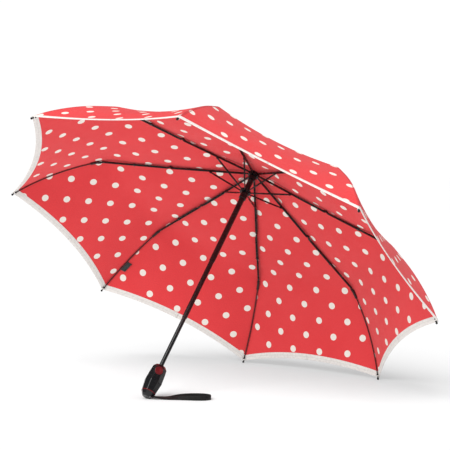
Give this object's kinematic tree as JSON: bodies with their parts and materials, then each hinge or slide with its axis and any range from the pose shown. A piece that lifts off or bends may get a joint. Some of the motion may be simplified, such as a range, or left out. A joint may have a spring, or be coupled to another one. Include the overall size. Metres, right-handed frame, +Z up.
{
  "type": "umbrella",
  "caption": "Open folding umbrella with a dotted canopy on jointed ribs, a telescopic shaft and a push-button handle with a wrist strap, resting on its side.",
  "frame": {"origin": "on the ground, under the middle of the umbrella's extent, as it lies on its handle end and two rib tips", "axes": "+Z up; the shaft lies in the XZ plane and rises towards +X, from the handle to the crown; Y runs across the canopy"},
  "size_m": [0.7173, 0.901, 0.5804],
  "materials": {
    "fabric_red": "woven polyester with cream dots",
    "binding_cream": "cotton binding tape",
    "steel_black": "black lacquered steel",
    "wire_dark": "dark spring wire with a moulded connector",
    "tube_black": "black lacquered tube",
    "plastic_black": "black moulded plastic",
    "plastic_red": "dark red moulded plastic",
    "ring_steel": "bright wire",
    "tip_plastic": "black cap",
    "strap_black": "black woven tape",
    "label_black": "black satin tab"
  },
  "bodies": {
    "handle": {"lower_tube": "tube_black", "handle_front_shell": "plastic_black", "handle_back_shell": "plastic_black", "handle_band": "plastic_red", "handle_end_cap": "plastic_black", "strap_pin": "ring_steel", "wrist_strap": "strap_black", "button_bezel": "plastic_black", "button_spring": "ring_steel"},
    "middle_tube": {"middle_tube": "tube_black"},
    "upper_tube": {"upper_tube": "tube_black", "crown": "plastic_black", "crown_ring": "ring_steel", "ferrule_cap": "plastic_black", "canopy": "fabric_red", "canopy_hem": "binding_cream"},
    "runner": {"runner": "plastic_black", "runner_ring": "ring_steel"},
    "push_button": {"push_button": "plastic_red"},
    "top_rib_1": {"top_rib_1": "steel_black"},
    "stretcher_1": {"stretcher_1": "steel_black"},
    "middle_rib_1": {"middle_rib_1": "steel_black"},
    "outer_rib_1": {"outer_rib_1": "wire_dark", "rib_tip_1": "tip_plastic"},
    "top_rib_2": {"top_rib_2": "steel_black"},
    "stretcher_2": {"stretcher_2": "steel_black"},
    "middle_rib_2": {"middle_rib_2": "steel_black"},
    "outer_rib_2": {"outer_rib_2": "wire_dark", "rib_tip_2": "tip_plastic"},
    "top_rib_3": {"top_rib_3": "steel_black"},
    "stretcher_3": {"stretcher_3": "steel_black"},
    "middle_rib_3": {"middle_rib_3": "steel_black"},
    "outer_rib_3": {"outer_rib_3": "wire_dark", "rib_tip_3": "tip_plastic", "label": "label_black"},
    "top_rib_4": {"top_rib_4": "steel_black"},
    "stretcher_4": {"stretcher_4": "steel_black"},
    "middle_rib_4": {"middle_rib_4": "steel_black"},
    "outer_rib_4": {"outer_rib_4": "wire_dark", "rib_tip_4": "tip_plastic"},
    "top_rib_5": {"top_rib_5": "steel_black"},
    "stretcher_5": {"stretcher_5": "steel_black"},
    "middle_rib_5": {"middle_rib_5": "steel_black"},
    "outer_rib_5": {"outer_rib_5": "wire_dark", "rib_tip_5": "tip_plastic"},
    "top_rib_6": {"top_rib_6": "steel_black"},
    "stretcher_6": {"stretcher_6": "steel_black"},
    "middle_rib_6": {"middle_rib_6": "steel_black"},
    "outer_rib_6": {"outer_rib_6": "wire_dark", "rib_tip_6": "tip_plastic"},
    "top_rib_7": {"top_rib_7": "steel_black"},
    "stretcher_7": {"stretcher_7": "steel_black"},
    "middle_rib_7": {"middle_rib_7": "steel_black"},
    "outer_rib_7": {"outer_rib_7": "wire_dark", "rib_tip_7": "tip_plastic"},
    "top_rib_8": {"top_rib_8": "steel_black"},
    "stretcher_8": {"stretcher_8": "steel_black"},
    "middle_rib_8": {"middle_rib_8": "steel_black"},
    "outer_rib_8": {"outer_rib_8": "wire_dark", "rib_tip_8": "tip_plastic"}
  },
  "joints": [
    {"name": "lower_section_slide", "type": "slide", "parent": "handle", "child": "middle_tube", "axis": [-0.611, 0, -0.7916], "range_m": [0, 0.116]},
    {"name": "upper_section_slide", "type": "slide", "parent": "middle_tube", "child": "upper_tube", "axis": [-0.611, 0, -0.7916], "range_m": [0, 0.13]},
    {"name": "runner_slide", "type": "slide", "parent": "upper_tube", "child": "runner", "axis": [-0.611, 0, -0.7916], "range_m": [0, 0.12415], "deforming": ["canopy", "canopy_hem"]},
    {"name": "button_press", "type": "slide", "parent": "handle", "child": "push_button", "axis": [0.5598, 0.7071, -0.432], "range_m": [0, 0.0025], "stiffness_N_per_m": 700, "springref_m": -0.0008, "deforming": ["button_spring"]},
    {"name": "top_rib_1_fold", "type": "hinge", "parent": "upper_tube", "child": "top_rib_1", "pos_m": [0.12128, 0.00383, 0.45044], "axis": [-0.3029, -0.9239, 0.2338], "range_deg": [0, 74.05]},
    {"name": "stretcher_1_fold", "type": "hinge", "parent": "top_rib_1", "child": "stretcher_1", "pos_m": [0.04735, 0.03516, 0.47848], "axis": [0.3029, 0.9239, -0.2338], "range_deg": [0, 148.05]},
    {"name": "middle_rib_1_fold", "type": "hinge", "parent": "top_rib_1", "child": "middle_rib_1", "pos_m": [-0.02743, 0.06965, 0.51784], "axis": [0.3029, 0.9239, -0.2338], "range_deg": [0, 176.54]},
    {"name": "outer_rib_1_fold", "type": "hinge", "parent": "middle_rib_1", "child": "outer_rib_1", "pos_m": [-0.16219, 0.12801, 0.57384], "axis": [-0.3029, -0.9239, 0.2338], "range_deg": [0, 151.34]},
    {"name": "top_rib_2_fold", "type": "hinge", "parent": "upper_tube", "child": "top_rib_2", "pos_m": [0.12556, 0.00924, 0.44713], "axis": [-0.7314, -0.3827, 0.5645], "range_deg": [0, 74.05]},
    {"name": "stretcher_2_fold", "type": "hinge", "parent": "top_rib_2", "child": "stretcher_2", "pos_m": [0.08672, 0.08489, 0.44809], "axis": [0.7314, 0.3827, -0.5645], "range_deg": [0, 148.05]},
    {"name": "middle_rib_2_fold", "type": "hinge", "parent": "top_rib_2", "child": "middle_rib_2", "pos_m": [0.05054, 0.16815, 0.45766], "axis": [0.7314, 0.3827, -0.5645], "range_deg": [0, 176.54]},
    {"name": "outer_rib_2_fold", "type": "hinge", "parent": "middle_rib_2", "child": "outer_rib_2", "pos_m": [-0.01888, 0.30904, 0.46324], "axis": [-0.7314, -0.3827, 0.5645], "range_deg": [0, 151.34]},
    {"name": "top_rib_3_fold", "type": "hinge", "parent": "upper_tube", "child": "top_rib_3", "pos_m": [0.13162, 0.00924, 0.44245], "axis": [-0.7314, 0.3827, 0.5645], "range_deg": [0, 74.05]},
    {"name": "stretcher_3_fold", "type": "hinge", "parent": "top_rib_3", "child": "stretcher_3", "pos_m": [0.14239, 0.08489, 0.40512], "axis": [0.7314, -0.3827, -0.5645], "range_deg": [0, 148.05]},
    {"name": "middle_rib_3_fold", "type": "hinge", "parent": "top_rib_3", "child": "middle_rib_3", "pos_m": [0.16081, 0.16815, 0.37255], "axis": [0.7314, -0.3827, -0.5645], "range_deg": [0, 176.54]},
    {"name": "outer_rib_3_fold", "type": "hinge", "parent": "middle_rib_3", "child": "outer_rib_3", "pos_m": [0.1838, 0.30904, 0.30681], "axis": [-0.7314, 0.3827, 0.5645], "range_deg": [0, 151.34]},
    {"name": "top_rib_4_fold", "type": "hinge", "parent": "upper_tube", "child": "top_rib_4", "pos_m": [0.1359, 0.00383, 0.43915], "axis": [-0.3029, 0.9239, 0.2338], "range_deg": [0, 74.05]},
    {"name": "stretcher_4_fold", "type": "hinge", "parent": "top_rib_4", "child": "stretcher_4", "pos_m": [0.18176, 0.03516, 0.37474], "axis": [0.3029, -0.9239, -0.2338], "range_deg": [0, 148.05]},
    {"name": "middle_rib_4_fold", "type": "hinge", "parent": "top_rib_4", "child": "middle_rib_4", "pos_m": [0.23879, 0.06965, 0.31237], "axis": [0.3029, -0.9239, -0.2338], "range_deg": [0, 176.54]},
    {"name": "outer_rib_4_fold", "type": "hinge", "parent": "middle_rib_4", "child": "outer_rib_4", "pos_m": [0.32711, 0.12801, 0.1962], "axis": [-0.3029, 0.9239, 0.2338], "range_deg": [0, 151.34]},
    {"name": "top_rib_5_fold", "type": "hinge", "parent": "upper_tube", "child": "top_rib_5", "pos_m": [0.1359, -0.00383, 0.43915], "axis": [0.3029, 0.9239, -0.2338], "range_deg": [0, 74.05]},
    {"name": "stretcher_5_fold", "type": "hinge", "parent": "top_rib_5", "child": "stretcher_5", "pos_m": [0.18176, -0.03516, 0.37474], "axis": [-0.3029, -0.9239, 0.2338], "range_deg": [0, 148.05]},
    {"name": "middle_rib_5_fold", "type": "hinge", "parent": "top_rib_5", "child": "middle_rib_5", "pos_m": [0.23879, -0.06965, 0.31237], "axis": [-0.3029, -0.9239, 0.2338], "range_deg": [0, 176.54]},
    {"name": "outer_rib_5_fold", "type": "hinge", "parent": "middle_rib_5", "child": "outer_rib_5", "pos_m": [0.32711, -0.12801, 0.1962], "axis": [0.3029, 0.9239, -0.2338], "range_deg": [0, 151.34]},
    {"name": "top_rib_6_fold", "type": "hinge", "parent": "upper_tube", "child": "top_rib_6", "pos_m": [0.13162, -0.00924, 0.44245], "axis": [0.7314, 0.3827, -0.5645], "range_deg": [0, 74.05]},
    {"name": "stretcher_6_fold", "type": "hinge", "parent": "top_rib_6", "child": "stretcher_6", "pos_m": [0.14239, -0.08489, 0.40512], "axis": [-0.7314, -0.3827, 0.5645], "range_deg": [0, 148.05]},
    {"name": "middle_rib_6_fold", "type": "hinge", "parent": "top_rib_6", "child": "middle_rib_6", "pos_m": [0.16081, -0.16815, 0.37255], "axis": [-0.7314, -0.3827, 0.5645], "range_deg": [0, 176.54]},
    {"name": "outer_rib_6_fold", "type": "hinge", "parent": "middle_rib_6", "child": "outer_rib_6", "pos_m": [0.1838, -0.30904, 0.30681], "axis": [0.7314, 0.3827, -0.5645], "range_deg": [0, 151.34]},
    {"name": "top_rib_7_fold", "type": "hinge", "parent": "upper_tube", "child": "top_rib_7", "pos_m": [0.12556, -0.00924, 0.44713], "axis": [0.7314, -0.3827, -0.5645], "range_deg": [0, 74.05]},
    {"name": "stretcher_7_fold", "type": "hinge", "parent": "top_rib_7", "child": "stretcher_7", "pos_m": [0.08672, -0.08489, 0.44809], "axis": [-0.7314, 0.3827, 0.5645], "range_deg": [0, 148.05]},
    {"name": "middle_rib_7_fold", "type": "hinge", "parent": "top_rib_7", "child": "middle_rib_7", "pos_m": [0.05054, -0.16815, 0.45766], "axis": [-0.7314, 0.3827, 0.5645], "range_deg": [0, 176.54]},
    {"name": "outer_rib_7_fold", "type": "hinge", "parent": "middle_rib_7", "child": "outer_rib_7", "pos_m": [-0.01888, -0.30904, 0.46324], "axis": [0.7314, -0.3827, -0.5645], "range_deg": [0, 151.34]},
    {"name": "top_rib_8_fold", "type": "hinge", "parent": "upper_tube", "child": "top_rib_8", "pos_m": [0.12128, -0.00383, 0.45044], "axis": [0.3029, -0.9239, -0.2338], "range_deg": [0, 74.05]},
    {"name": "stretcher_8_fold", "type": "hinge", "parent": "top_rib_8", "child": "stretcher_8", "pos_m": [0.04735, -0.03516, 0.47848], "axis": [-0.3029, 0.9239, 0.2338], "range_deg": [0, 148.05]},
    {"name": "middle_rib_8_fold", "type": "hinge", "parent": "top_rib_8", "child": "middle_rib_8", "pos_m": [-0.02743, -0.06965, 0.51784], "axis": [-0.3029, 0.9239, 0.2338], "range_deg": [0, 176.54]},
    {"name": "outer_rib_8_fold", "type": "hinge", "parent": "middle_rib_8", "child": "outer_rib_8", "pos_m": [-0.16219, -0.12801, 0.57384], "axis": [0.3029, -0.9239, -0.2338], "range_deg": [0, 151.34]}
  ],
  "couplings": [
    {"joint": "top_rib_1_fold", "follows": "runner_slide", "rad_per_m": 10.403},
    {"joint": "stretcher_1_fold", "follows": "runner_slide", "rad_per_m": 20.806},
    {"joint": "middle_rib_1_fold", "follows": "runner_slide", "rad_per_m": 24.812},
    {"joint": "outer_rib_1_fold", "follows": "runner_slide", "rad_per_m": 21.269},
    {"joint": "top_rib_2_fold", "follows": "runner_slide", "rad_per_m": 10.403},
    {"joint": "stretcher_2_fold", "follows": "runner_slide", "rad_per_m": 20.806},
    {"joint": "middle_rib_2_fold", "follows": "runner_slide", "rad_per_m": 24.812},
    {"joint": "outer_rib_2_fold", "follows": "runner_slide", "rad_per_m": 21.269},
    {"joint": "top_rib_3_fold", "follows": "runner_slide", "rad_per_m": 10.403},
    {"joint": "stretcher_3_fold", "follows": "runner_slide", "rad_per_m": 20.806},
    {"joint": "middle_rib_3_fold", "follows": "runner_slide", "rad_per_m": 24.812},
    {"joint": "outer_rib_3_fold", "follows": "runner_slide", "rad_per_m": 21.269},
    {"joint": "top_rib_4_fold", "follows": "runner_slide", "rad_per_m": 10.403},
    {"joint": "stretcher_4_fold", "follows": "runner_slide", "rad_per_m": 20.806},
    {"joint": "middle_rib_4_fold", "follows": "runner_slide", "rad_per_m": 24.812},
    {"joint": "outer_rib_4_fold", "follows": "runner_slide", "rad_per_m": 21.269},
    {"joint": "top_rib_5_fold", "follows": "runner_slide", "rad_per_m": 10.403},
    {"joint": "stretcher_5_fold", "follows": "runner_slide", "rad_per_m": 20.806},
    {"joint": "middle_rib_5_fold", "follows": "runner_slide", "rad_per_m": 24.812},
    {"joint": "outer_rib_5_fold", "follows": "runner_slide", "rad_per_m": 21.269},
    {"joint": "top_rib_6_fold", "follows": "runner_slide", "rad_per_m": 10.403},
    {"joint": "stretcher_6_fold", "follows": "runner_slide", "rad_per_m": 20.806},
    {"joint": "middle_rib_6_fold", "follows": "runner_slide", "rad_per_m": 24.812},
    {"joint": "outer_rib_6_fold", "follows": "runner_slide", "rad_per_m": 21.269},
    {"joint": "top_rib_7_fold", "follows": "runner_slide", "rad_per_m": 10.403},
    {"joint": "stretcher_7_fold", "follows": "runner_slide", "rad_per_m": 20.806},
    {"joint": "middle_rib_7_fold", "follows": "runner_slide", "rad_per_m": 24.812},
    {"joint": "outer_rib_7_fold", "follows": "runner_slide", "rad_per_m": 21.269},
    {"joint": "top_rib_8_fold", "follows": "runner_slide", "rad_per_m": 10.403},
    {"joint": "stretcher_8_fold", "follows": "runner_slide", "rad_per_m": 20.806},
    {"joint": "middle_rib_8_fold", "follows": "runner_slide", "rad_per_m": 24.812},
    {"joint": "outer_rib_8_fold", "follows": "runner_slide", "rad_per_m": 21.269}
  ]
}
